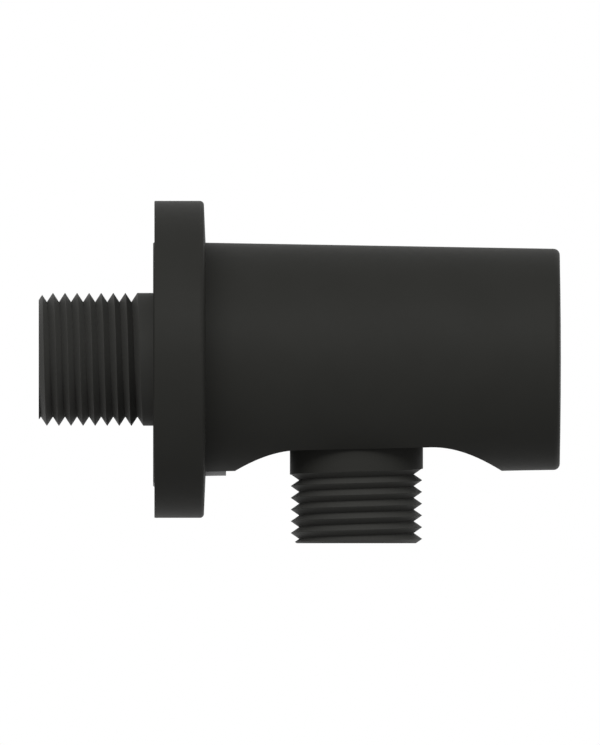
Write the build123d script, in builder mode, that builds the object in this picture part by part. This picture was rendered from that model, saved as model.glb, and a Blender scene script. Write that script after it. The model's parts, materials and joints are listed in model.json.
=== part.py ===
"""Wall outlet elbow for a shower hose, with its cover, rosette and non-return valve. Sizes are in millimetres.

+X points out of the wall along the inlet, +Z is up, and the origin is on the inlet's axis at the wall.
Where a size is called a depth, it is measured straight down from that axis.
"""

from build123d import *
import os
from math import radians, sqrt, tan

# Inlet: a G 1/2 male thread and a plain collar, both as their outside cylinder
inlet_thread_diameter = 20.955
inlet_length = 18.04
inlet_chamfer_width = 1.12
inlet_chamfer_length = 0.75
waterway_diameter = 13.0
waterway_mouth_chamfer = 0.6
drill_point_angle = 118

# Journal: the round neck inside the cover, where the bush slides
journal_relief_width = 1.0
journal_relief_depth = 0.4
journal_length = 16.0

# Barrel: the thick front of the elbow, with a flat milled along its underside
seat_depth = 10.9
seat_margin = 0.12
barrel_length = 31.5
barrel_shoulder_chamfer = 1.2
barrel_front_chamfer = 0.8
wrench_flat_width = 27.0
wrench_flat_length = 6.0

# Outlet nipple: a G 1/2 B male thread below a plain neck, screwed into the barrel
outlet_reach = 32.07
outlet_drop = 29.0
neck_diameter = 21.0
neck_length = 7.3
outlet_thread_diameter = 20.68
outlet_chamfer_width = 0.94
outlet_chamfer_length = 0.61
spigot_thread_diameter = 16.66
spigot_step = 1.0
spigot_tip_clearance = 0.2
port_diameter = 11.0
hex_key_width = 10.0
seal_pocket_diameter = 19.8
seal_pocket_depth = 1.3
nipple_mouth_chamfer = 0.4

# Cover: a conical shell that slides over the barrel
cover_clearance = 0.3
cover_edge_wall = 1.915
cover_taper = 0.996
cover_front_wall = 2.72
cover_front_gap = 1.94
cover_dome_rise = 0.2
cover_front_radius = 1.0
cover_inner_radius = 1.5
cover_rear_chamfer = 0.25
slot_side_clearance = 0.5
slot_travel = 20.98
slot_offset = 1.27
slot_stop_clearance = 0.3
slot_edge_chamfer = 0.15

# Rear bush: a bearing ring in the cover's mouth, with a key that fills the keyway and a lip behind it
bush_length = 5.0
bush_clearance = 0.3
bush_mouth_chamfer = 0.4
key_width = 10.0
key_clearance = 0.05
key_length = 11.51
key_thickness = 4.4
lip_height = 1.6
lip_thickness = 1.5
lip_chamfer = 0.2
snap_start = 3.2
snap_width = 1.2
snap_height = 0.35
snap_clearance = 0.1

# Rosette: a die-cast ring wedged on the cone, hollow at the back
rosette_setback = 0.2
rosette_overhang = 6.452
rosette_rim_thickness = 7.8
rosette_face_rise = 0.28
rosette_rim_radius = 0.65
rosette_back_radius = 0.15
rosette_clearance = 0.04
rosette_rim_wall = 1.6
rosette_relief_depth = 5.4
rosette_relief_radius = 0.5
lip_pocket_clearance = 0.2
lip_pocket_wall = 0.9

# O-rings, squashed into their grooves to a rounded rectangle
bush_ring_start = 1.2
bush_ring_width = 1.9
bush_ring_depth = 1.3
bush_ring_clearance = 0.03
rosette_ring_start = 4.2
rosette_ring_width = 1.7
rosette_ring_depth = 1.1
rosette_ring_clearance = 0.02
ring_corner = 0.45

# Non-return valve: a cartridge in the nipple, opened by the flow and closed by its spring
valve_bore_diameter = 15.2
valve_inset = 1.6
valve_clearance = 0.05
valve_wall = 1.2
valve_lip_length = 0.9
valve_mouth_chamfer = 0.3
valve_seat_diameter = 8.4
valve_seat_wall = 3.4
valve_ring_start = 1.1
valve_ring_width = 1.8
valve_ring_depth = 1.1
poppet_diameter = 10.4
poppet_head_thickness = 1.05
poppet_hub_diameter = 7.4
poppet_seal_thickness = 0.9
poppet_seat_gap = 0.05
poppet_lift = 2.4
poppet_flange_clearance = 0.2
poppet_flange_height = 0.6
poppet_nose_height = 1.9
poppet_nose_tip_diameter = 2.6
poppet_boss_height = 0.7
stem_diameter = 2.0
stem_setback = 0.3
guide_thickness = 1.5
guide_snap_depth = 0.3
guide_rim_width = 0.9
guide_hub_diameter = 4.2
guide_hub_height = 0.5
guide_hole_clearance = 0.08
spoke_width = 1.3
spoke_count = 3
spring_wire_diameter = 0.4
spring_clearance = 0.3
spring_turns = 3.5
spring_spare_travel = 0.3
spring_end_clearance = 0.08

# How near two lengths must be to count as one when an edge is picked
same = 0.01

# Radii and places worked out from the sizes above
inlet_radius = inlet_thread_diameter / 2
waterway_radius = waterway_diameter / 2
neck_radius = neck_diameter / 2
outlet_radius = outlet_thread_diameter / 2
spigot_radius = spigot_thread_diameter / 2
seal_pocket_radius = seal_pocket_diameter / 2
barrel_radius = sqrt(seat_depth**2 + (neck_radius + seat_margin) ** 2)
barrel_front = journal_length + barrel_length

slot_width = neck_diameter + 2 * slot_side_clearance
slot_centre = outlet_reach + slot_offset
slot_rear_centre = slot_centre - slot_travel / 2
back_travel = slot_travel / 2 + slot_offset + slot_side_clearance - slot_stop_clearance
forward_travel = slot_travel / 2 - slot_offset + slot_side_clearance - slot_stop_clearance

cover_bore_radius = barrel_radius + cover_clearance
cover_inner_front = barrel_front + back_travel + cover_front_gap
cover_front = cover_inner_front + cover_front_wall
cover_edge_radius = cover_bore_radius + cover_edge_wall

bush_bore_radius = inlet_radius + bush_clearance
bush_groove_radius = bush_bore_radius + bush_ring_depth


def cone_radius(x):
    """Outside radius of the cover's cone at a distance x from the wall."""
    return cover_edge_radius + (cover_front - x) * tan(radians(cover_taper))


def on_cone(edge):
    """Whether an edge lies on the outside of the cone, at its ends and in its middle."""
    points = [edge @ 0, edge @ 0.5, edge @ 1]
    return all(abs(sqrt(p.Y**2 + p.Z**2) - cone_radius(p.X)) < same for p in points)


lip_radius = cone_radius(0) + lip_height
key_root_radius = cone_radius(0) - key_thickness
rosette_radius = cone_radius(0) + rosette_overhang
rosette_rim_front = rosette_setback + rosette_rim_thickness
rosette_hub_front = rosette_rim_front + rosette_face_rise
lip_pocket_radius = lip_radius + lip_pocket_clearance
keyway_width = key_width + 2 * key_clearance

valve_bore_radius = valve_bore_diameter / 2
valve_radius = valve_bore_radius - valve_clearance
valve_inner_radius = valve_radius - valve_wall
valve_seat_radius = valve_seat_diameter / 2

# The valve is stacked upwards from its lower end, with the spring nearly solid when the poppet is open
spring_height = poppet_lift + spring_turns * spring_wire_diameter + spring_spare_travel
valve_bottom = outlet_drop - valve_inset
guide_bottom = valve_bottom - valve_lip_length
guide_top = guide_bottom - guide_thickness
head_bottom = guide_top - spring_height
head_top = head_bottom - poppet_head_thickness
seal_top = head_top - poppet_seal_thickness
valve_seat_face = seal_top - poppet_seat_gap
valve_top = valve_seat_face - valve_seat_wall
poppet_radius = poppet_diameter / 2
poppet_hub_radius = poppet_hub_diameter / 2
poppet_flange_radius = valve_seat_radius - poppet_flange_clearance
stem_radius = stem_diameter / 2
stem_bottom = guide_bottom - stem_setback
guide_radius = valve_inner_radius + guide_snap_depth
guide_hub_radius = guide_hub_diameter / 2
spring_wire_radius = spring_wire_diameter / 2
spring_mean_radius = guide_hub_radius + spring_clearance + spring_wire_radius

# In the first plane x is the distance from the wall and y the radius. In the second, x is the distance
# from the outlet's axis and y the depth.
inlet_section = Plane.XZ
outlet_section = Plane(origin=(outlet_reach, 0, 0), x_dir=(1, 0, 0), z_dir=(0, 1, 0))
outlet_axis = Axis((outlet_reach, 0, 0), (0, 0, 1))


def level(depth):
    """The level plane at a depth, centred on the outlet's axis and facing up."""
    return Plane(origin=(outlet_reach, 0, -depth))


def corner(section, x, y):
    """The corner of an open sketch that lies at a point."""
    return section.vertices().sort_by_distance((x, y))[0]


def ring_section(start, width, inner, outer):
    """An O-ring's section in the sketch that is open: width along the first axis, radii along the second."""
    radius = min(ring_corner, width / 3, (outer - inner) / 3)
    with Locations((start + width / 2, (inner + outer) / 2)):
        RectangleRounded(width, outer - inner, radius)


# Elbow barrel: inlet, journal and barrel turned from one bar, then drilled and milled
with BuildPart() as elbow_barrel:
    with BuildSketch(inlet_section):
        with BuildLine():
            Polyline(
                (-inlet_length, 0),
                (-inlet_length, inlet_radius - inlet_chamfer_width),
                (-inlet_length + inlet_chamfer_length, inlet_radius),
                (0, inlet_radius),
                (0, inlet_radius - journal_relief_depth),
                (journal_relief_width, inlet_radius - journal_relief_depth),
                (journal_relief_width, inlet_radius),
                (journal_length, inlet_radius),
                (journal_length, barrel_radius - barrel_shoulder_chamfer),
                (journal_length + barrel_shoulder_chamfer, barrel_radius),
                (barrel_front - barrel_front_chamfer, barrel_radius),
                (barrel_front, barrel_radius - barrel_front_chamfer),
                (barrel_front, 0),
                close=True,
            )
        make_face()
    revolve(axis=Axis.X)

    # The waterway ends in a drill point just past the outlet port
    waterway_end = outlet_reach + port_diameter / 2
    drill_tip = waterway_end + waterway_radius / tan(radians(drill_point_angle / 2))
    with BuildSketch(inlet_section):
        with BuildLine():
            Polyline(
                (-inlet_length, 0),
                (-inlet_length, waterway_radius + waterway_mouth_chamfer),
                (-inlet_length + waterway_mouth_chamfer, waterway_radius),
                (waterway_end, waterway_radius),
                (drill_tip, 0),
                close=True,
            )
        make_face()
    revolve(axis=Axis.X, mode=Mode.SUBTRACT)

    # Flat along the whole underside, the nipple's seat
    with BuildSketch(level(seat_depth)):
        Rectangle(2 * (barrel_front + inlet_length), 2 * barrel_radius)
    extrude(amount=-barrel_radius, mode=Mode.SUBTRACT)

    # Two wrench flats at the front, for screwing the elbow into the wall
    with BuildSketch(Plane.YZ.offset(barrel_front - wrench_flat_length)):
        Rectangle(2 * barrel_radius, 2 * barrel_radius)
        Rectangle(wrench_flat_width, 2 * barrel_radius, mode=Mode.SUBTRACT)
    extrude(amount=wrench_flat_length, mode=Mode.SUBTRACT)

    # Outlet port: O-ring pocket, threaded hole that breaks into the waterway, and the bore up to its axis
    port_thread_top = waterway_radius - spigot_step
    with BuildSketch(outlet_section):
        with BuildLine():
            Polyline(
                (0, 0),
                (port_diameter / 2, 0),
                (port_diameter / 2, port_thread_top),
                (spigot_radius, port_thread_top),
                (spigot_radius, seat_depth - seal_pocket_depth),
                (seal_pocket_radius, seat_depth - seal_pocket_depth),
                (seal_pocket_radius, seat_depth),
                (0, seat_depth),
                close=True,
            )
        make_face()
    revolve(axis=outlet_axis, mode=Mode.SUBTRACT)


# Outlet nipple: spigot, neck and hose thread, with a hexagon socket above the valve's bore
with BuildPart() as outlet_nipple:
    spigot_tip = port_thread_top + spigot_tip_clearance
    with BuildSketch(outlet_section):
        with BuildLine():
            Polyline(
                (0, spigot_tip),
                (spigot_radius, spigot_tip),
                (spigot_radius, seat_depth),
                (neck_radius, seat_depth),
                (neck_radius, seat_depth + neck_length),
                (outlet_radius, seat_depth + neck_length),
                (outlet_radius, outlet_drop - outlet_chamfer_length),
                (outlet_radius - outlet_chamfer_width, outlet_drop),
                (valve_bore_radius + nipple_mouth_chamfer, outlet_drop),
                (valve_bore_radius, outlet_drop - nipple_mouth_chamfer),
                (valve_bore_radius, valve_top),
                (0, valve_top),
                close=True,
            )
        make_face()
    revolve(axis=outlet_axis)
    with BuildSketch(level(valve_top)):
        RegularPolygon(hex_key_width / 2, 6, major_radius=False)
    extrude(amount=valve_top - spigot_tip, mode=Mode.SUBTRACT)


with BuildPart() as nipple_seal:
    with BuildSketch(outlet_section):
        with Locations(((spigot_radius + seal_pocket_radius) / 2, seat_depth - seal_pocket_depth / 2)):
            RectangleRounded(
                seal_pocket_radius - spigot_radius, seal_pocket_depth, min(ring_corner, seal_pocket_depth / 3)
            )
    revolve(axis=outlet_axis)


# Cover: cone, domed front and straight bore, with the slot and the keyway cut through its underside
with BuildPart() as cover:
    with BuildSketch(inlet_section) as section:
        with BuildLine():
            dome_edge = (cover_front, cover_edge_radius)
            apex = (cover_front + cover_dome_rise, 0)
            Line((cover_inner_front, 0), apex)
            TangentArc(apex, dome_edge, tangent=(0, 1))
            Polyline(
                dome_edge,
                (cover_rear_chamfer, cone_radius(cover_rear_chamfer)),
                (0, cone_radius(0) - cover_rear_chamfer),
                (0, cover_bore_radius),
                (snap_start - snap_clearance, cover_bore_radius),
                (snap_start - snap_clearance, cover_bore_radius + snap_height + snap_clearance),
                (snap_start + snap_width + snap_clearance, cover_bore_radius + snap_height + snap_clearance),
                (snap_start + snap_width + snap_clearance, cover_bore_radius),
                (cover_inner_front, cover_bore_radius),
                (cover_inner_front, 0),
            )
        make_face()
        fillet(corner(section, cover_front, cover_edge_radius), cover_front_radius)
        fillet(corner(section, cover_inner_front, cover_bore_radius), cover_inner_radius)
    revolve(axis=Axis.X)
    with BuildSketch(Plane.XY):
        with Locations((slot_centre, 0)):
            SlotCenterToCenter(slot_travel, slot_width)
        with Locations((slot_rear_centre / 2, 0)):
            Rectangle(slot_rear_centre, keyway_width)
    extrude(amount=-2 * cone_radius(0), mode=Mode.SUBTRACT)

    # The slot's edge is broken all round, and the keyway's is left sharp
    slot_rim = [
        edge
        for edge in cover.edges(Select.LAST)
        if on_cone(edge) and abs(abs(edge.center().Y) - keyway_width / 2) > same
    ]
    chamfer(slot_rim, slot_edge_chamfer)


# Rear bush: the key and its lip are a slice of a ring that follows the cone
with BuildPart() as key:
    with BuildSketch(inlet_section):
        with BuildLine():
            Polyline(
                (0, key_root_radius),
                (0, lip_radius - lip_chamfer),
                (lip_chamfer, lip_radius),
                (lip_thickness, lip_radius),
                (lip_thickness, cone_radius(lip_thickness)),
                (key_length, cone_radius(key_length)),
                (key_length, key_root_radius),
                close=True,
            )
        make_face()
    revolve(axis=Axis.X)
    with BuildSketch(Plane.XY):
        with Locations((key_length / 2, 0)):
            Rectangle(key_length, key_width)
    extrude(amount=-2 * lip_radius, mode=Mode.INTERSECT)

with BuildPart() as rear_bush:
    with BuildSketch(inlet_section):
        with BuildLine():
            Polyline(
                (0, bush_bore_radius + bush_mouth_chamfer),
                (0, cover_bore_radius),
                (snap_start, cover_bore_radius),
                (snap_start, cover_bore_radius + snap_height),
                (snap_start + snap_width, cover_bore_radius + snap_height),
                (snap_start + snap_width, cover_bore_radius),
                (bush_length, cover_bore_radius),
                (bush_length, bush_bore_radius),
                (bush_ring_start + bush_ring_width, bush_bore_radius),
                (bush_ring_start + bush_ring_width, bush_groove_radius),
                (bush_ring_start, bush_groove_radius),
                (bush_ring_start, bush_bore_radius),
                (bush_mouth_chamfer, bush_bore_radius),
                close=True,
            )
        make_face()
    revolve(axis=Axis.X)
    add(key.part)


with BuildPart() as bush_o_ring:
    with BuildSketch(inlet_section):
        ring_section(
            bush_ring_start, bush_ring_width, inlet_radius + bush_ring_clearance, bush_groove_radius
        )
    revolve(axis=Axis.X)


# Rosette: its bore follows the cone, with a groove for an O-ring and a pocket for the bush's lip
with BuildPart() as rosette:
    relief_bottom = rosette_setback + rosette_relief_depth
    relief_inner_radius = lip_pocket_radius + lip_pocket_wall
    relief_outer_radius = rosette_radius - rosette_rim_wall
    ring_end = rosette_ring_start + rosette_ring_width
    rosette_groove_radius = cone_radius(rosette_ring_start) + rosette_ring_depth
    with BuildSketch(inlet_section) as section:
        with BuildLine():
            Polyline(
                (rosette_setback, cone_radius(rosette_setback) + rosette_clearance),
                (rosette_setback, relief_inner_radius),
                (relief_bottom, relief_inner_radius),
                (relief_bottom, relief_outer_radius),
                (rosette_setback, relief_outer_radius),
                (rosette_setback, rosette_radius),
                (rosette_rim_front, rosette_radius),
                (rosette_hub_front, cone_radius(rosette_hub_front) + rosette_clearance),
                (ring_end, cone_radius(ring_end) + rosette_clearance),
                (ring_end, rosette_groove_radius),
                (rosette_ring_start, rosette_groove_radius),
                (rosette_ring_start, cone_radius(rosette_ring_start) + rosette_clearance),
                close=True,
            )
        make_face()
        fillet(corner(section, relief_bottom, relief_inner_radius), rosette_relief_radius)
        fillet(corner(section, relief_bottom, relief_outer_radius), rosette_relief_radius)
        fillet(corner(section, rosette_setback, rosette_radius), rosette_back_radius)
        fillet(corner(section, rosette_rim_front, rosette_radius), rosette_rim_radius)
    revolve(axis=Axis.X)
    with BuildSketch(Plane.YZ.offset(rosette_setback)):
        Circle(lip_pocket_radius)
        with Locations((0, -lip_pocket_radius / 2)):
            Rectangle(
                key_width + 2 * lip_pocket_clearance, lip_pocket_radius, mode=Mode.INTERSECT
            )
    extrude(amount=lip_thickness + lip_pocket_clearance - rosette_setback, mode=Mode.SUBTRACT)


with BuildPart() as rosette_o_ring:
    with BuildSketch(inlet_section):
        ring_section(
            rosette_ring_start,
            rosette_ring_width,
            cone_radius(rosette_ring_start) + rosette_ring_clearance,
            rosette_groove_radius,
        )
    revolve(axis=Axis.X)


# Valve housing: a sleeve with a thick top that holds the seat, and a snap groove for the guide
with BuildPart() as valve_housing:
    ring_top = valve_top + valve_ring_start
    ring_bottom = ring_top + valve_ring_width
    valve_groove_radius = valve_radius - valve_ring_depth
    with BuildSketch(outlet_section):
        with BuildLine():
            Polyline(
                (valve_seat_radius, valve_top),
                (valve_radius, valve_top),
                (valve_radius, ring_top),
                (valve_groove_radius, ring_top),
                (valve_groove_radius, ring_bottom),
                (valve_radius, ring_bottom),
                (valve_radius, valve_bottom - valve_mouth_chamfer),
                (valve_radius - valve_mouth_chamfer, valve_bottom),
                (valve_inner_radius, valve_bottom),
                (valve_inner_radius, guide_bottom),
                (guide_radius, guide_bottom),
                (guide_radius, guide_top),
                (valve_inner_radius, guide_top),
                (valve_inner_radius, valve_seat_face),
                (valve_seat_radius, valve_seat_face),
                close=True,
            )
        make_face()
    revolve(axis=outlet_axis)


with BuildPart() as valve_o_ring:
    with BuildSketch(outlet_section):
        with Locations(((valve_groove_radius + valve_bore_radius) / 2, (ring_top + ring_bottom) / 2)):
            RectangleRounded(
                valve_bore_radius - valve_groove_radius,
                valve_ring_width,
                min(ring_corner, (valve_bore_radius - valve_groove_radius) / 3),
            )
    revolve(axis=outlet_axis)


# Poppet: nose, seal flange, head, spring boss and stem
with BuildPart() as valve_poppet:
    flange_bottom = seal_top
    flange_top = flange_bottom - poppet_flange_height
    with BuildSketch(outlet_section):
        with BuildLine():
            Polyline(
                (0, flange_top - poppet_nose_height),
                (poppet_nose_tip_diameter / 2, flange_top - poppet_nose_height),
                (poppet_flange_radius, flange_top),
                (poppet_flange_radius, flange_bottom),
                (poppet_hub_radius, flange_bottom),
                (poppet_hub_radius, head_top),
                (poppet_radius, head_top),
                (poppet_radius, head_bottom),
                (guide_hub_radius, head_bottom),
                (guide_hub_radius, head_bottom + poppet_boss_height),
                (stem_radius, head_bottom + poppet_boss_height),
                (stem_radius, stem_bottom),
                (0, stem_bottom),
                close=True,
            )
        make_face()
    revolve(axis=outlet_axis)


with BuildPart() as valve_seal:
    with BuildSketch(outlet_section):
        with BuildLine():
            Polyline(
                (poppet_hub_radius, seal_top),
                (poppet_radius, seal_top),
                (poppet_radius, head_top),
                (poppet_hub_radius, head_top),
                close=True,
            )
        make_face()
    revolve(axis=outlet_axis)


# Guide: a spider whose rim snaps into the housing and whose hub carries the spring and the stem
with BuildPart() as valve_guide:
    with BuildSketch(level(guide_bottom)):
        Circle(guide_radius)
        Circle(valve_inner_radius - guide_rim_width, mode=Mode.SUBTRACT)
        with PolarLocations(0, spoke_count):
            with Locations((valve_inner_radius / 2, 0)):
                Rectangle(valve_inner_radius, spoke_width)
    extrude(amount=guide_thickness)
    with BuildSketch(level(guide_bottom)):
        Circle(guide_hub_radius)
    extrude(amount=guide_thickness + guide_hub_height)
    with BuildSketch(level(guide_bottom)):
        Circle(stem_radius + guide_hole_clearance)
    extrude(amount=guide_thickness + guide_hub_height, mode=Mode.SUBTRACT)


# Spring: a wire coil between the guide's spokes and the poppet's head
with BuildPart() as valve_spring:
    coil_height = spring_height - spring_wire_diameter - 2 * spring_end_clearance
    with BuildLine():
        coil = Helix(
            pitch=coil_height / spring_turns,
            height=coil_height,
            radius=spring_mean_radius,
            center=(outlet_reach, 0, -guide_top + spring_wire_radius + spring_end_clearance),
        )
    with BuildSketch(Plane(origin=coil @ 0, z_dir=coil % 0)):
        Circle(spring_wire_radius)
    sweep(is_frenet=True)


pieces = {
    "elbow_barrel": elbow_barrel,
    "outlet_nipple": outlet_nipple,
    "nipple_seal": nipple_seal,
    "cover": cover,
    "rear_bush": rear_bush,
    "bush_o_ring": bush_o_ring,
    "rosette": rosette,
    "rosette_o_ring": rosette_o_ring,
    "valve_housing": valve_housing,
    "valve_o_ring": valve_o_ring,
    "valve_poppet": valve_poppet,
    "valve_seal": valve_seal,
    "valve_guide": valve_guide,
    "valve_spring": valve_spring,
}

os.makedirs("parts", exist_ok=True)
for name, piece in pieces.items():
    piece.part.label = name
    export_step(piece.part, f"parts/{name}.step")

print("forward travel", round(forward_travel, 3), "back travel", round(back_travel, 3))
print("cone radius at the wall", round(cone_radius(0), 3), "rosette radius", round(rosette_radius, 3))
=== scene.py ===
"""The looks of a wall outlet elbow: cut threads, a wound spring, finishes, a plain studio and a camera.

Sizes are in millimetres and become metres where a mesh, a lamp or a pattern takes them.
+X points out of the wall, +Z is up, and the camera looks along +Y.
"""

import json
from math import ceil, cos, pi, radians, sin

import bmesh
import bpy
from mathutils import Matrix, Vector


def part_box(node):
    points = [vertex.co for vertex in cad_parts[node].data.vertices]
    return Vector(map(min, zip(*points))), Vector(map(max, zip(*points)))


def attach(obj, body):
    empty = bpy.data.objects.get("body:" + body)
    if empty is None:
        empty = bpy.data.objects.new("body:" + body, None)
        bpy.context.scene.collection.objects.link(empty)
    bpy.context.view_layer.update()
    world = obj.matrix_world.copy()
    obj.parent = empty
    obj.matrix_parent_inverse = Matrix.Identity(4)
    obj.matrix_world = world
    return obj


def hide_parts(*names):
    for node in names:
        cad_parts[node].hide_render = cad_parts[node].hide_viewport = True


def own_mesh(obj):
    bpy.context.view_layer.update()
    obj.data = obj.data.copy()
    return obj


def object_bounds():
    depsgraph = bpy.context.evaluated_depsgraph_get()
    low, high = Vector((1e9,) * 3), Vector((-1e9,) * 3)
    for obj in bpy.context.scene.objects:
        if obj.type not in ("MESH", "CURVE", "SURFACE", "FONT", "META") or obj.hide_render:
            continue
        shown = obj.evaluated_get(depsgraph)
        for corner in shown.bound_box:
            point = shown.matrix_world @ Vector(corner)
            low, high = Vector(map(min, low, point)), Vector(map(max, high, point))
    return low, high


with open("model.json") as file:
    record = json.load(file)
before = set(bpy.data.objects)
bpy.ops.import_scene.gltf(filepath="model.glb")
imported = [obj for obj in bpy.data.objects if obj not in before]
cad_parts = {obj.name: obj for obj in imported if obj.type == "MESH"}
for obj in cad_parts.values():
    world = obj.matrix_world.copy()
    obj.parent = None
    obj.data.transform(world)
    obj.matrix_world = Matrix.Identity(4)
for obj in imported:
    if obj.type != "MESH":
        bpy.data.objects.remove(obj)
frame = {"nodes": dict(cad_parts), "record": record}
cad_low, cad_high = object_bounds()

MM = 0.001

# Threads, read from the photograph's outline. The crest radius comes from the frame's mounts.
inlet_thread_length = 17.0
inlet_root_radius = 9.05
inlet_pitch = 1.903
inlet_last_crest = -2.47  # X of the last crest line on top of the thread
inlet_turns_to_far_side = 0.75  # from that line along the helix, to where the groove runs out
outlet_thread_length = 12.3
outlet_root_radius = 9.04
outlet_pitch = 1.851
outlet_last_crest = -17.20  # Z of the last crest line on the side away from the wall
outlet_turns_to_far_side = 0.25
crest_flat = 0.04
tool_overcut = 0.5
lead_in_turns = 0.5  # the helix begins at least this far past the free end
run_out_turns = 0.25
steps_a_turn = 96
smooth_below = radians(30)
merge_distance = 0.001

# The coat doesn't reach inside this radius, which takes in the waterway and the chamfer at its mouth
waterway_reach = 7.2

# Valve spring
spring_wire_diameter = 0.4
spring_turns = 3.5
spring_steps_a_turn = 48
wire_sides = 12

# Patterns: the width of their spots, or the spacing of their lines
coat_grain = 0.16  # really finer than a pixel of the photograph, and drawn as coarse as one
coat_orange_peel = 1.3
coat_cloud = 9.0
lathe_lines = 0.3
thread_mottle = 0.5
thread_grain = 0.12
brass_stain = 2.5
drill_lines = 0.35
moulding_flow = 5.0
moulding_grain = 0.12
rubber_grease = 1.6
wire_lines = 0.06
floor_mottle = 90.0
ring_stretch = 0.02  # rings run far round the axis, so the pattern's scale across it is this small

# The photograph's frame and camera
photo_height = 745
photo_scale = 0.1577  # millimetres a pixel
camera_aim_x = 23.17
camera_aim_z = -2.07
camera_distance = 300
camera_tilt = 90  # degrees up from straight down, so it is level

# Studio: an even sky, and one softbox over the camera
sky_level = 0.5  # as a light; to the eye the sky is 1, which is white
softbox_elevation = 35
softbox_distance = 600
softbox_length = 900
softbox_height = 330
softbox_level = 4.4  # how bright its face is, on the same scale
floor_drop = 34
floor_size = 3000
floor_glow = 0.05

mounts = {mount["name"]: mount for mount in frame["record"]["mounts"]}
far_side = Vector((0, 1, 0))
part_centre = (cad_low + cad_high) / 2


def linear(colour):
    """An sRGB hex colour as the linear RGBA that a shader takes."""
    channels = [int(colour[start : start + 2], 16) / 255 for start in (1, 3, 5)]
    return [c / 12.92 if c <= 0.04045 else ((c + 0.055) / 1.055) ** 2.4 for c in channels] + [1.0]


def add_node(tree, kind, inputs=None, **settings):
    """Adds a node with its settings, and gives its inputs a value or another node's output."""
    node = tree.nodes.new(kind)
    for name, value in settings.items():
        setattr(node, name, value)
    for name, value in (inputs or {}).items():
        if isinstance(value, bpy.types.NodeSocket):
            tree.links.new(value, node.inputs[name])
        else:
            node.inputs[name].default_value = value
    return node


def new_finish(name):
    """An empty material with its output node, and the object's own coordinates."""
    material = bpy.data.materials.new(name)
    material.use_nodes = True
    tree = material.node_tree
    tree.nodes.clear()
    place = add_node(tree, "ShaderNodeTexCoord").outputs["Object"]
    return material, tree, place


def patches(tree, place, size, detail=2.0):
    """Soft noise whose spots are a given size in millimetres."""
    return add_node(
        tree, "ShaderNodeTexNoise", {"Vector": place, "Scale": 1 / (size * MM), "Detail": detail}
    ).outputs["Fac"]


# Finishes


def baked_black_coat(name, dark, light, lathe_axis=None):
    """Matte black lacquer, sprayed on brass or zinc and baked.

    It has an even, low sheen over a grain as fine as flour. A turned piece keeps faint lathe lines
    under it, square to its axis.
    """
    material, tree, place = new_finish(name)
    grain = patches(tree, place, coat_grain, detail=1.0)
    orange_peel = patches(tree, place, coat_orange_peel)
    cloud = patches(tree, place, coat_cloud)
    colour = add_node(
        tree,
        "ShaderNodeMix",
        {"Factor": cloud, "A": linear(dark), "B": linear(light)},
        data_type="RGBA",
    )
    roughness = add_node(
        tree, "ShaderNodeMapRange", {"Value": orange_peel, "To Min": 0.5, "To Max": 0.58}
    )
    normal = add_node(
        tree, "ShaderNodeBump", {"Height": grain, "Distance": 0.004 * MM, "Strength": 0.5}
    ).outputs["Normal"]
    normal = add_node(
        tree,
        "ShaderNodeBump",
        {"Height": orange_peel, "Distance": 0.006 * MM, "Strength": 0.5, "Normal": normal},
    ).outputs["Normal"]
    if lathe_axis:
        stretch = [ring_stretch] * 3
        stretch["xyz".index(lathe_axis)] = 1.0
        rings = add_node(tree, "ShaderNodeMapping", {"Vector": place, "Scale": stretch})
        lines = patches(tree, rings.outputs["Vector"], lathe_lines, detail=3.0)
        normal = add_node(
            tree,
            "ShaderNodeBump",
            {"Height": lines, "Distance": 0.004 * MM, "Strength": 0.5, "Normal": normal},
        ).outputs["Normal"]
    shader = add_node(
        tree,
        "ShaderNodeBsdfPrincipled",
        {
            "Base Color": colour.outputs["Result"],
            "Roughness": roughness.outputs["Result"],
            "IOR": 1.5,
            "Specular IOR Level": 0.045,
            "Normal": normal,
        },
    )
    add_node(tree, "ShaderNodeOutputMaterial", {"Surface": shader.outputs["BSDF"]})
    return material


def thread_painted_light_finish(name):
    """The same lacquer on a thread's flanks, dull, and painted pale: painted light against the grooves'
    shade.
    """
    material, tree, place = new_finish(name)
    flank_mottle = patches(tree, place, thread_mottle, detail=3.0)
    grain = patches(tree, place, thread_grain, detail=1.0)
    colour = add_node(
        tree,
        "ShaderNodeMix",
        {"Factor": flank_mottle, "A": linear("#31312f"), "B": linear("#383836")},
        data_type="RGBA",
    )
    normal = add_node(
        tree, "ShaderNodeBump", {"Height": grain, "Distance": 0.005 * MM, "Strength": 0.5}
    )
    shader = add_node(
        tree,
        "ShaderNodeBsdfPrincipled",
        {
            "Base Color": colour.outputs["Result"],
            "Roughness": 0.62,
            "IOR": 1.5,
            "Specular IOR Level": 0.15,
            "Normal": normal.outputs["Normal"],
        },
    )
    add_node(tree, "ShaderNodeOutputMaterial", {"Surface": shader.outputs["BSDF"]})
    return material


def bare_brass(name):
    """Drilled brass that the coat doesn't reach: warm metal, dulled, with the drill's rings."""
    material, tree, place = new_finish(name)
    stain = patches(tree, place, brass_stain)
    colour = add_node(
        tree,
        "ShaderNodeMix",
        {"Factor": stain, "A": linear("#b9975b"), "B": linear("#8f7443")},
        data_type="RGBA",
    )
    rings = add_node(
        tree, "ShaderNodeMapping", {"Vector": place, "Scale": (1, ring_stretch, ring_stretch)}
    )
    lines = patches(tree, rings.outputs["Vector"], drill_lines, detail=3.0)
    normal = add_node(
        tree, "ShaderNodeBump", {"Height": lines, "Distance": 0.01 * MM, "Strength": 0.6}
    )
    shader = add_node(
        tree,
        "ShaderNodeBsdfPrincipled",
        {
            "Base Color": colour.outputs["Result"],
            "Metallic": 1.0,
            "Roughness": 0.38,
            "Normal": normal.outputs["Normal"],
        },
    )
    add_node(tree, "ShaderNodeOutputMaterial", {"Surface": shader.outputs["BSDF"]})
    return material


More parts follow.
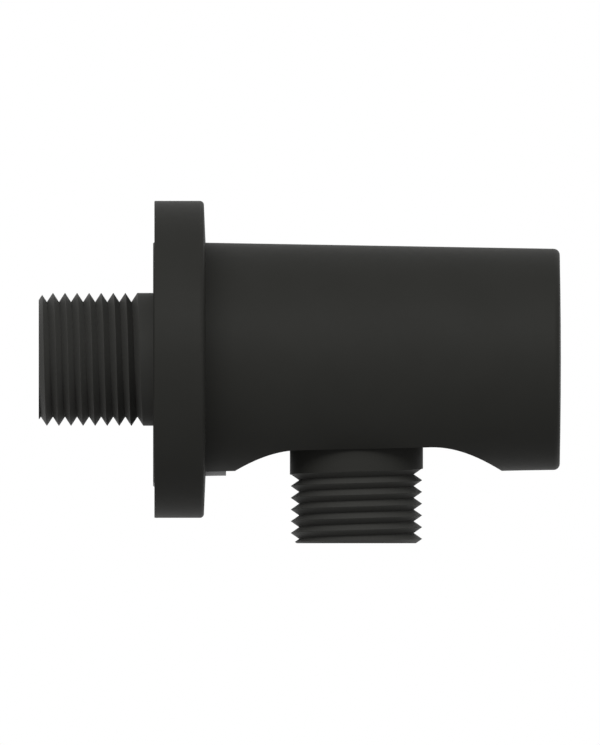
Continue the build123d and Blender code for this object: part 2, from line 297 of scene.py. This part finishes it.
def moulded_acetal(name, colour, shade, roughness):
    """Injection-moulded acetal: a soft, slightly waxy plastic with the tool's spark-eroded grain."""
    material, tree, place = new_finish(name)
    flow = patches(tree, place, moulding_flow)
    grain = patches(tree, place, moulding_grain, detail=1.0)
    tint = add_node(
        tree,
        "ShaderNodeMix",
        {"Factor": flow, "A": linear(colour), "B": linear(shade)},
        data_type="RGBA",
    )
    normal = add_node(
        tree, "ShaderNodeBump", {"Height": grain, "Distance": 0.005 * MM, "Strength": 0.5}
    )
    shader = add_node(
        tree,
        "ShaderNodeBsdfPrincipled",
        {
            "Base Color": tint.outputs["Result"],
            "Roughness": roughness,
            "IOR": 1.48,
            "Normal": normal.outputs["Normal"],
        },
    )
    add_node(tree, "ShaderNodeOutputMaterial", {"Surface": shader.outputs["BSDF"]})
    return material


def nitrile_rubber(name):
    """Moulded nitrile, lightly greased: near black, with a wet-looking patch here and there."""
    material, tree, place = new_finish(name)
    grease = patches(tree, place, rubber_grease)
    roughness = add_node(
        tree, "ShaderNodeMapRange", {"Value": grease, "To Min": 0.35, "To Max": 0.7}
    )
    normal = add_node(
        tree, "ShaderNodeBump", {"Height": grease, "Distance": 0.01 * MM, "Strength": 0.4}
    )
    shader = add_node(
        tree,
        "ShaderNodeBsdfPrincipled",
        {
            "Base Color": linear("#131313"),
            "Roughness": roughness.outputs["Result"],
            "IOR": 1.52,
            "Normal": normal.outputs["Normal"],
        },
    )
    add_node(tree, "ShaderNodeOutputMaterial", {"Surface": shader.outputs["BSDF"]})
    return material


def spring_steel(name):
    """Drawn stainless wire: bright grey metal with fine drawing lines that blur its shine."""
    material, tree, place = new_finish(name)
    lines = patches(tree, place, wire_lines, detail=3.0)
    roughness = add_node(
        tree, "ShaderNodeMapRange", {"Value": lines, "To Min": 0.22, "To Max": 0.36}
    )
    shader = add_node(
        tree,
        "ShaderNodeBsdfPrincipled",
        {"Base Color": linear("#b7b8b8"), "Metallic": 1.0, "Roughness": roughness.outputs["Result"]},
    )
    add_node(tree, "ShaderNodeOutputMaterial", {"Surface": shader.outputs["BSDF"]})
    return material


# The barrel, the threads and, less so, the nipple get a paler coat than the cover. It is painted light:
# what stands over them takes part of their light, while in the photograph they are about as light as the
# rest
finishes = {
    "cover_coat": baked_black_coat("cover_coat", "#232321", "#272725"),
    # painted light: paler than the cover's coat, for the shade the rosette casts on the barrel's collar
    "barrel_painted_light_coat": baked_black_coat("barrel_painted_light_coat", "#353533", "#393937", "x"),
    # painted light: a shade paler than the cover's coat, for the shade the cover casts on the neck
    "nipple_painted_light_coat": baked_black_coat("nipple_painted_light_coat", "#262624", "#2a2a28", "z"),
    # painted light: the thread flanks' coat is paler, to make up for the shade in the grooves
    "thread_painted_light_coat": thread_painted_light_finish("thread_painted_light_coat"),
    "waterway_brass": bare_brass("waterway_brass"),
    "bush_acetal": moulded_acetal("bush_acetal", "#1d1d1c", "#232322", 0.5),
    "valve_acetal": moulded_acetal("valve_acetal", "#d9d8d1", "#cfcec6", 0.4),
    "poppet_acetal": moulded_acetal("poppet_acetal", "#2b4a86", "#27447c", 0.38),
    "ring_nitrile": nitrile_rubber("ring_nitrile"),
    "spring_steel": spring_steel("spring_steel"),
}


def baked(obj, name):
    """What an object's modifiers make of it, as a plain mesh object with no modifiers."""
    evaluated = obj.evaluated_get(bpy.context.evaluated_depsgraph_get())
    mesh = bpy.data.meshes.new_from_object(evaluated)
    mesh.name = name
    mesh.validate()
    piece = bpy.data.objects.new(name, mesh)
    bpy.context.scene.collection.objects.link(piece)
    mesh.set_sharp_from_angle(angle=smooth_below)
    return piece


def run_tree(obj, tree, values):
    """Gives an object a Geometry Nodes modifier whose inputs have the values named."""
    modifier = obj.modifiers.new(tree.name, "NODES")
    modifier.node_group = tree
    for socket in tree.interface.items_tree:
        if socket.item_type == "SOCKET" and socket.in_out == "INPUT" and socket.name in values:
            modifier[socket.identifier] = values[socket.name]


def new_tree(name, sockets):
    """A Geometry Nodes tree with its inputs, its group input node, and a geometry output."""
    tree = bpy.data.node_groups.new(name, "GeometryNodeTree")
    tree.is_modifier = True
    tree.interface.new_socket("Geometry", in_out="OUTPUT", socket_type="NodeSocketGeometry")
    for socket, kind in sockets.items():
        tree.interface.new_socket(socket, in_out="INPUT", socket_type="NodeSocket" + kind)
    return tree, add_node(tree, "NodeGroupInput").outputs


# Threads


def thread_tree():
    """A V tool led along a helix cuts the thread, and lifts out over the last part of a turn."""
    tree, given = new_tree(
        "thread_cut",
        {
            "Geometry": "Geometry",
            "Tool": "Object",
            "Root Radius": "Float",
            "Lift": "Float",
            "Pitch": "Float",
            "Turns": "Float",
            "Run Out": "Float",
            "Steps a Turn": "Int",
            "Start": "Vector",
            "Axis": "Vector",
            "Far Side": "Vector",
            "Coat": "Material",
            "Thread Painted Light Coat": "Material",
            "Thread Radius": "Float",
            "Thread Length": "Float",
            "Bare Metal": "Material",
            "Bare Radius": "Float",
        },
    )
    height = add_node(
        tree, "ShaderNodeMath", {0: given["Pitch"], 1: given["Turns"]}, operation="MULTIPLY"
    )
    path = add_node(
        tree,
        "GeometryNodeCurveSpiral",
        {
            "Resolution": given["Steps a Turn"],
            "Rotations": given["Turns"],
            "Start Radius": given["Root Radius"],
            "End Radius": given["Root Radius"],
            "Height": height.outputs["Value"],
            "Reverse": True,
        },
    )

    # The tool lifts square to the axis, from nothing to its full lift
    lift_share = add_node(
        tree, "ShaderNodeMath", {0: given["Run Out"], 1: given["Turns"]}, operation="DIVIDE"
    )
    lift_from = add_node(
        tree, "ShaderNodeMath", {0: 1.0, 1: lift_share.outputs["Value"]}, operation="SUBTRACT"
    )
    progress = add_node(tree, "GeometryNodeSplineParameter").outputs["Factor"]
    lift = add_node(
        tree,
        "ShaderNodeMapRange",
        {
            "Value": progress,
            "From Min": lift_from.outputs["Value"],
            "From Max": 1.0,
            "To Min": 0.0,
            "To Max": given["Lift"],
        },
        interpolation_type="SMOOTHSTEP",
    )
    position = add_node(tree, "GeometryNodeInputPosition").outputs["Position"]
    across = add_node(
        tree, "ShaderNodeVectorMath", {0: position, 1: (1, 1, 0)}, operation="MULTIPLY"
    )
    outward = add_node(
        tree, "ShaderNodeVectorMath", {0: across.outputs["Vector"]}, operation="NORMALIZE"
    )
    offset = add_node(
        tree,
        "ShaderNodeVectorMath",
        {0: outward.outputs["Vector"], "Scale": lift.outputs["Result"]},
        operation="SCALE",
    )
    path = add_node(
        tree,
        "GeometryNodeSetPosition",
        {"Geometry": path.outputs["Curve"], "Offset": offset.outputs["Vector"]},
    )
    path = add_node(
        tree, "GeometryNodeSetCurveNormal", {"Curve": path.outputs["Geometry"]}, mode="Z_UP"
    )
    tool = add_node(tree, "GeometryNodeObjectInfo", {"Object": given["Tool"]})
    groove = add_node(
        tree,
        "GeometryNodeCurveToMesh",
        {
            "Curve": path.outputs["Curve"],
            "Profile Curve": tool.outputs["Geometry"],
            "Fill Caps": True,
        },
    )
    turn = add_node(
        tree,
        "FunctionNodeAxesToRotation",
        {"Primary Axis": given["Axis"], "Secondary Axis": given["Far Side"]},
        primary_axis="Z",
        secondary_axis="X",
    )
    groove = add_node(
        tree,
        "GeometryNodeTransform",
        {
            "Geometry": groove.outputs["Mesh"],
            "Translation": given["Start"],
            "Rotation": turn.outputs["Rotation"],
        },
    )
    cut = add_node(
        tree,
        "GeometryNodeMeshBoolean",
        {"Mesh 1": given["Geometry"], "Mesh 2": groove.outputs["Geometry"]},
        operation="DIFFERENCE",
        solver="MANIFOLD",
    )
    smooth = add_node(tree, "GeometryNodeSetShadeSmooth", {"Geometry": cut.outputs["Mesh"]})
    whole = add_node(
        tree, "GeometryNodeRealizeInstances", {"Geometry": smooth.outputs["Geometry"]}
    )
    coated = add_node(
        tree,
        "GeometryNodeSetMaterial",
        {"Geometry": whole.outputs["Geometry"], "Material": given["Coat"]},
    )

    # Faces under the crest, as far as the helix goes, are the thread; those near the axis are the bore
    from_start = add_node(
        tree, "ShaderNodeVectorMath", {0: position, 1: given["Start"]}, operation="SUBTRACT"
    ).outputs["Vector"]
    along_axis = add_node(
        tree, "ShaderNodeVectorMath", {0: from_start, 1: given["Axis"]}, operation="DOT_PRODUCT"
    )
    off_axis = add_node(
        tree, "ShaderNodeVectorMath", {0: from_start, 1: given["Axis"]}, operation="CROSS_PRODUCT"
    )
    radius = add_node(
        tree, "ShaderNodeVectorMath", {0: off_axis.outputs["Vector"]}, operation="LENGTH"
    )
    under_crest = add_node(
        tree,
        "FunctionNodeCompare",
        {"A": radius.outputs["Value"], "B": given["Thread Radius"]},
        data_type="FLOAT",
        operation="LESS_THAN",
    )
    within_length = add_node(
        tree,
        "FunctionNodeCompare",
        {"A": along_axis.outputs["Value"], "B": given["Thread Length"]},
        data_type="FLOAT",
        operation="LESS_THAN",
    )
    on_thread = add_node(
        tree,
        "FunctionNodeBooleanMath",
        {0: under_crest.outputs["Result"], 1: within_length.outputs["Result"]},
        operation="AND",
    )
    # The thread's flanks take the paler coat: painted light that makes up for the shade in the grooves
    flanked = add_node(
        tree,
        "GeometryNodeSetMaterial",
        {
            "Geometry": coated.outputs["Geometry"],
            "Selection": on_thread.outputs["Boolean"],
            "Material": given["Thread Painted Light Coat"],
        },
    )
    inside = add_node(
        tree,
        "FunctionNodeCompare",
        {"A": radius.outputs["Value"], "B": given["Bare Radius"]},
        data_type="FLOAT",
        operation="LESS_THAN",
    )
    bored = add_node(
        tree,
        "GeometryNodeSetMaterial",
        {
            "Geometry": flanked.outputs["Geometry"],
            "Selection": inside.outputs["Result"],
            "Material": given["Bare Metal"],
        },
    )
    add_node(tree, "NodeGroupOutput", {"Geometry": bored.outputs["Geometry"]})
    return tree


def thread_tool(crest_radius, root_radius, pitch):
    """The cutting tool's outline: its point on the root, flanks up to the crest, then straight sides."""
    half_width = (pitch - crest_flat) / 2
    depth = crest_radius - root_radius
    outline = [
        (0, 0),
        (depth, -half_width),
        (depth + tool_overcut, -half_width),
        (depth + tool_overcut, half_width),
        (depth, half_width),
    ]
    curve = bpy.data.curves.new("thread_tool", "CURVE")
    curve.dimensions = "2D"
    spline = curve.splines.new("POLY")
    spline.points.add(len(outline) - 1)
    for point, (radial, axial) in zip(spline.points, outline):
        point.co = (radial * MM, axial * MM, 0, 1)
    spline.use_cyclic_u = True
    tool = bpy.data.objects.new("thread_tool", curve)
    bpy.context.scene.collection.objects.link(tool)
    return tool


def join_triangles(mesh):
    """Joins a CAD mesh's loose triangles along their edges, and drops the normals they came with."""
    body = bmesh.new()
    body.from_mesh(mesh)
    bmesh.ops.remove_doubles(body, verts=body.verts, dist=merge_distance * MM)
    body.to_mesh(mesh)
    body.free()
    for name in ("custom_normal", "sharp_face", "sharp_edge"):
        if name in mesh.attributes:
            mesh.attributes.remove(mesh.attributes[name])


def threaded(node, mount, root_radius, pitch, length, last_crest, toward_neck, tree, finish, name):
    """Cuts a thread on a copy of a CAD node and lets the copy stand for it.

    last_crest is where the groove's far edge would be on the side that the helix passes last.
    """
    crest_radius = mounts[mount]["dims"]["r_mm"]
    turns = ceil(length / pitch + lead_in_turns)
    tool = thread_tool(crest_radius, root_radius, pitch)
    mesh = frame["nodes"][node].data.copy()
    join_triangles(mesh)
    mesh.materials.clear()
    mesh.materials.append(finishes[finish])
    blank = bpy.data.objects.new(node, mesh)
    bpy.context.scene.collection.objects.link(blank)
    centre = Vector(mounts[mount]["pos_m"])
    start_along = (last_crest - pitch / 2 - turns * pitch) * MM
    start = centre + toward_neck * (start_along - centre @ toward_neck)
    run_tree(
        blank,
        tree,
        {
            "Tool": tool,
            "Root Radius": root_radius * MM,
            "Lift": (crest_radius - root_radius + tool_overcut / 2) * MM,
            "Pitch": pitch * MM,
            "Turns": float(turns),
            "Run Out": run_out_turns,
            "Steps a Turn": steps_a_turn,
            "Start": start,
            "Axis": toward_neck,
            "Far Side": far_side,
            "Coat": finishes[finish],
            "Thread Painted Light Coat": finishes["thread_painted_light_coat"],
            "Thread Radius": (crest_radius - crest_flat) * MM,
            "Thread Length": (turns * pitch + pitch / 2) * MM,
            "Bare Metal": finishes["waterway_brass"],
            "Bare Radius": waterway_reach * MM,
        },
    )
    piece = baked(blank, name)
    bpy.data.objects.remove(blank)
    bpy.data.objects.remove(tool)
    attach(piece, "elbow")
    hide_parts(node)
    return piece


thread_cut = thread_tree()
threaded(
    node="elbow_barrel",
    mount="inlet_thread",
    root_radius=inlet_root_radius,
    pitch=inlet_pitch,
    length=inlet_thread_length,
    last_crest=inlet_last_crest + inlet_turns_to_far_side * inlet_pitch,
    toward_neck=Vector((1, 0, 0)),
    tree=thread_cut,
    finish="barrel_painted_light_coat",
    name="threaded_barrel",
)
threaded(
    node="outlet_nipple",
    mount="outlet_thread",
    root_radius=outlet_root_radius,
    pitch=outlet_pitch,
    length=outlet_thread_length,
    last_crest=outlet_last_crest + outlet_turns_to_far_side * outlet_pitch,
    toward_neck=Vector((0, 0, 1)),
    tree=thread_cut,
    finish="nipple_painted_light_coat",
    name="threaded_nipple",
)


# Valve spring


def spring_tree():
    """Wire wound on a helix whose first and last turns lie nearly flat."""
    tree, given = new_tree(
        "spring_winding",
        {
            "Coil Radius": "Float",
            "Height": "Float",
            "Turns": "Float",
            "Steps a Turn": "Int",
            "Wire Radius": "Float",
            "Wire Sides": "Int",
            "Foot": "Vector",
            "Finish": "Material",
        },
    )
    path = add_node(
        tree,
        "GeometryNodeCurveSpiral",
        {
            "Resolution": given["Steps a Turn"],
            "Rotations": given["Turns"],
            "Start Radius": given["Coil Radius"],
            "End Radius": given["Coil Radius"],
            "Height": 0.0,
        },
    )
    progress = add_node(tree, "GeometryNodeSplineParameter").outputs["Factor"]
    rise = add_node(
        tree,
        "ShaderNodeMapRange",
        {"Value": progress, "To Max": given["Height"]},
        interpolation_type="SMOOTHSTEP",
    )
    rise = add_node(tree, "ShaderNodeCombineXYZ", {"Z": rise.outputs["Result"]})
    path = add_node(
        tree,
        "GeometryNodeSetPosition",
        {"Geometry": path.outputs["Curve"], "Offset": rise.outputs["Vector"]},
    )
    section = add_node(
        tree,
        "GeometryNodeCurvePrimitiveCircle",
        {"Resolution": given["Wire Sides"], "Radius": given["Wire Radius"]},
    )
    wire = add_node(
        tree,
        "GeometryNodeCurveToMesh",
        {
            "Curve": path.outputs["Geometry"],
            "Profile Curve": section.outputs["Curve"],
            "Fill Caps": True,
        },
    )
    wire = add_node(
        tree, "GeometryNodeTransform", {"Geometry": wire.outputs["Mesh"], "Translation": given["Foot"]}
    )
    wire = add_node(tree, "GeometryNodeSetShadeSmooth", {"Geometry": wire.outputs["Geometry"]})
    wire = add_node(tree, "GeometryNodeRealizeInstances", {"Geometry": wire.outputs["Geometry"]})
    wire = add_node(
        tree,
        "GeometryNodeSetMaterial",
        {"Geometry": wire.outputs["Geometry"], "Material": given["Finish"]},
    )
    add_node(tree, "NodeGroupOutput", {"Geometry": wire.outputs["Geometry"]})
    return tree


def wound_spring():
    """The spring under the poppet, wound where the CAD spring stood."""
    low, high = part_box("valve_spring")
    wire_radius = spring_wire_diameter * MM / 2
    centre = (low + high) / 2
    core = bpy.data.objects.new("spring_core", bpy.data.meshes.new("spring_core"))
    bpy.context.scene.collection.objects.link(core)
    run_tree(
        core,
        spring_tree(),
        {
            "Coil Radius": (high.y - low.y) / 2 - wire_radius,
            "Height": high.z - low.z - 2 * wire_radius,
            "Turns": spring_turns,
            "Steps a Turn": spring_steps_a_turn,
            "Wire Radius": wire_radius,
            "Wire Sides": wire_sides,
            "Foot": Vector((centre.x, centre.y, low.z + wire_radius)),
            "Finish": finishes["spring_steel"],
        },
    )
    piece = baked(core, "wound_spring")
    bpy.data.objects.remove(core)
    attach(piece, "elbow")
    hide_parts("valve_spring")
    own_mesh(piece)


wound_spring()


# Cover


def evenly_domed_cover():
    """A copy of the cover with its normals set straight at the top of its dome, where some lean."""
    mesh = frame["nodes"]["cover"].data.copy()
    apex = Vector((max(vertex.co.x for vertex in mesh.vertices), 0, 0))
    kept_normals = mesh.attributes.new("kept_normal", "FLOAT_VECTOR", "CORNER")
    for loop, corner, kept in zip(mesh.loops, mesh.corner_normals, kept_normals.data):
        off_apex = (mesh.vertices[loop.vertex_index].co - apex).length
        kept.vector = corner.vector if off_apex > merge_distance * MM else Vector((1, 0, 0))
    join_triangles(mesh)
    normals = [kept.vector.copy() for kept in mesh.attributes["kept_normal"].data]
    mesh.attributes.remove(mesh.attributes["kept_normal"])
    mesh.normals_split_custom_set(normals)
    mesh.materials.clear()
    mesh.materials.append(finishes["cover_coat"])
    piece = bpy.data.objects.new("domed_cover", mesh)
    bpy.context.scene.collection.objects.link(piece)
    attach(piece, "cover")
    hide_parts("cover")


evenly_domed_cover()


# Finishes of the nodes that keep their CAD shape

node_finishes = {
    "rosette": "cover_coat",
    "rear_bush": "bush_acetal",
    "valve_housing": "valve_acetal",
    "valve_guide": "valve_acetal",
    "valve_poppet": "poppet_acetal",
    "valve_seal": "ring_nitrile",
    "nipple_seal": "ring_nitrile",
    "valve_o_ring": "ring_nitrile",
    "bush_o_ring": "ring_nitrile",
    "rosette_o_ring": "ring_nitrile",
}
for node, finish in node_finishes.items():
    for material_slot in frame["nodes"][node].material_slots:
        material_slot.material = finishes[finish]


# Studio


def pale_floor():
    """A seamless pale table, with a trace of glow that lifts the part's shadow.

    It can't be seen from underneath, so that the part can be.
    """
    material, tree, place = new_finish("pale_floor")
    mottle = patches(tree, place, floor_mottle)
    colour = add_node(
        tree,
        "ShaderNodeMix",
        {"Factor": mottle, "A": linear("#f4f4f2"), "B": linear("#f1f1ef")},
        data_type="RGBA",
    )
    sheet = add_node(tree, "ShaderNodeBsdfDiffuse", {"Color": colour.outputs["Result"]})
    glow = add_node(tree, "ShaderNodeEmission", {"Color": (1, 1, 1, 1), "Strength": floor_glow})
    top = add_node(tree, "ShaderNodeAddShader", {0: sheet.outputs["BSDF"], 1: glow.outputs["Emission"]})
    clear = add_node(tree, "ShaderNodeBsdfTransparent")
    underneath = add_node(tree, "ShaderNodeNewGeometry").outputs["Backfacing"]
    shader = add_node(
        tree,
        "ShaderNodeMixShader",
        {0: underneath, 1: top.outputs["Shader"], 2: clear.outputs["BSDF"]},
    )
    add_node(tree, "ShaderNodeOutputMaterial", {"Surface": shader.outputs["Shader"]})
    half = floor_size * MM / 2
    height = cad_low.z - floor_drop * MM
    mesh = bpy.data.meshes.new("floor")
    corners = [(x * half, y * half, height) for x, y in ((-1, -1), (1, -1), (1, 1), (-1, 1))]
    mesh.from_pydata(corners, [], [(0, 1, 2, 3)])
    mesh.materials.append(material)
    floor = bpy.data.objects.new("floor", mesh)
    bpy.context.scene.collection.objects.link(floor)
    # The part gets no light or reflection from the floor: from below and in its shine it sees the sky
    floor.visible_diffuse = False
    floor.visible_glossy = False


def softbox():
    """A long soft lamp above the camera, in line with the part's length and aimed at it."""
    lamp = bpy.data.lights.new("softbox", "AREA")
    lamp.shape = "RECTANGLE"
    lamp.size = softbox_length * MM
    lamp.size_y = softbox_height * MM
    lamp.energy = softbox_level * pi * lamp.size * lamp.size_y
    box = bpy.data.objects.new("softbox", lamp)
    towards_lamp = Vector((0, -cos(radians(softbox_elevation)), sin(radians(softbox_elevation))))
    box.location = part_centre + towards_lamp * softbox_distance * MM
    box.rotation_euler = (-towards_lamp).to_track_quat("-Z", "Y").to_euler()
    bpy.context.scene.collection.objects.link(box)


def studio_world():
    """White to the eye, in shine and through clear parts, and an even, dimmer sky on the part itself."""
    world = bpy.data.worlds.new("studio")
    world.use_nodes = True
    tree = world.node_tree
    tree.nodes.clear()
    rays = add_node(tree, "ShaderNodeLightPath").outputs
    white = rays["Is Camera Ray"]
    for kind in ("Is Glossy Ray", "Is Transmission Ray"):
        white = add_node(
            tree, "ShaderNodeMath", {0: white, 1: rays[kind]}, operation="MAXIMUM"
        ).outputs["Value"]
    strength = add_node(
        tree, "ShaderNodeMix", {"Factor": white, "A": sky_level, "B": 1.0}, data_type="FLOAT"
    )
    sky = add_node(
        tree,
        "ShaderNodeBackground",
        {"Color": (1, 1, 1, 1), "Strength": strength.outputs["Result"]},
    )
    add_node(tree, "ShaderNodeOutputWorld", {"Surface": sky.outputs["Background"]})
    bpy.context.scene.world = world


pale_floor()
studio_world()
softbox()


# The photograph's camera: level, square to the part's side, with no perspective

camera_data = bpy.data.cameras.new("camera")
camera_data.type = "ORTHO"
camera_data.ortho_scale = photo_height * photo_scale * MM
camera = bpy.data.objects.new("camera", camera_data)
camera.location = Vector((camera_aim_x, -camera_distance, camera_aim_z)) * MM
camera.rotation_euler = (radians(camera_tilt), 0, 0)
bpy.context.scene.collection.objects.link(camera)
bpy.context.scene.camera = camera
bpy.context.scene.view_settings.view_transform = "Standard"
